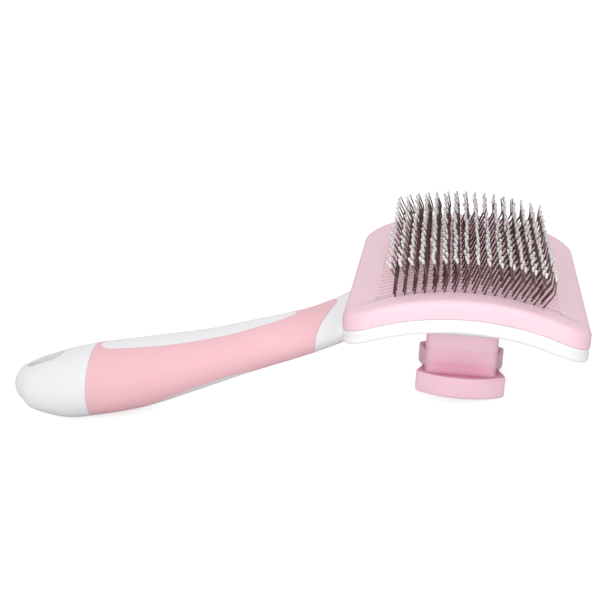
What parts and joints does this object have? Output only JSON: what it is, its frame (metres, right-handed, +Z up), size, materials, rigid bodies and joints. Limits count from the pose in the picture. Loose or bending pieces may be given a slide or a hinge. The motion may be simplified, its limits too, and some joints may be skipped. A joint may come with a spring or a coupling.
{
  "type": "slicker brush",
  "caption": "Self-cleaning slicker brush: bent steel pins with round tips stand through an arched slotted plate that a thumb button under the head pushes up to lift off the hair.",
  "frame": {"origin": "middle of the brush's footprint, on the surface it rests on", "axes": "+X from the handle's end to the head, +Z up with the pins on top, Y across the brush; the brush lies on its handle end and on its button"},
  "size_m": [0.204, 0.094, 0.0602],
  "materials": {
    "white_plastic": "smooth moulded satin gloss",
    "soft_grip": "soft matt moulded rubber",
    "pink_plastic": "fine matt moulded",
    "pin_steel": "drawn wire",
    "bead_resin": "glossy resin drop",
    "pin_sheet": "thin matt sheet",
    "spring_steel": "drawn wire",
    "screw_steel": "zinc plated"
  },
  "bodies": {
    "brush": {"handle_core": "white_plastic", "grip_sleeve": "soft_grip", "head_tray": "white_plastic", "pin_base": "white_plastic", "pin_sheet": "pin_sheet", "pin_row_01": "pin_steel", "pin_row_02": "pin_steel", "pin_row_03": "pin_steel", "pin_row_04": "pin_steel", "pin_row_05": "pin_steel", "pin_row_06": "pin_steel", "pin_row_07": "pin_steel", "pin_row_08": "pin_steel", "pin_row_09": "pin_steel", "pin_row_10": "pin_steel", "pin_row_11": "pin_steel", "pin_row_12": "pin_steel", "pin_row_13": "pin_steel", "pin_row_14": "pin_steel", "pin_row_15": "pin_steel", "pin_row_16": "pin_steel", "pin_row_17": "pin_steel", "pin_row_18": "pin_steel", "pin_row_19": "pin_steel", "pin_row_20": "pin_steel", "pin_row_21": "pin_steel", "pin_row_22": "pin_steel", "pin_row_23": "pin_steel", "pin_row_24": "pin_steel", "pin_row_25": "pin_steel", "pin_row_26": "pin_steel", "pin_row_27": "pin_steel", "pin_beads": "bead_resin", "base_screws": "screw_steel", "spine_screws": "screw_steel", "rear_spring": "spring_steel", "front_spring": "spring_steel"},
    "ejector": {"face_plate": "pink_plastic", "push_bridge": "white_plastic", "bridge_screws": "screw_steel", "button_stem": "pink_plastic", "stem_screws": "screw_steel", "thumb_plate": "pink_plastic", "thumb_screws": "screw_steel"}
  },
  "joints": [
    {"name": "button_press", "type": "slide", "parent": "brush", "child": "ejector", "axis": [0.1722, 0, 0.9851], "range_m": [0, 0.0095], "stiffness_N_per_m": 300, "springref_m": -0.008, "deforming": ["rear_spring", "front_spring"]}
  ]
}
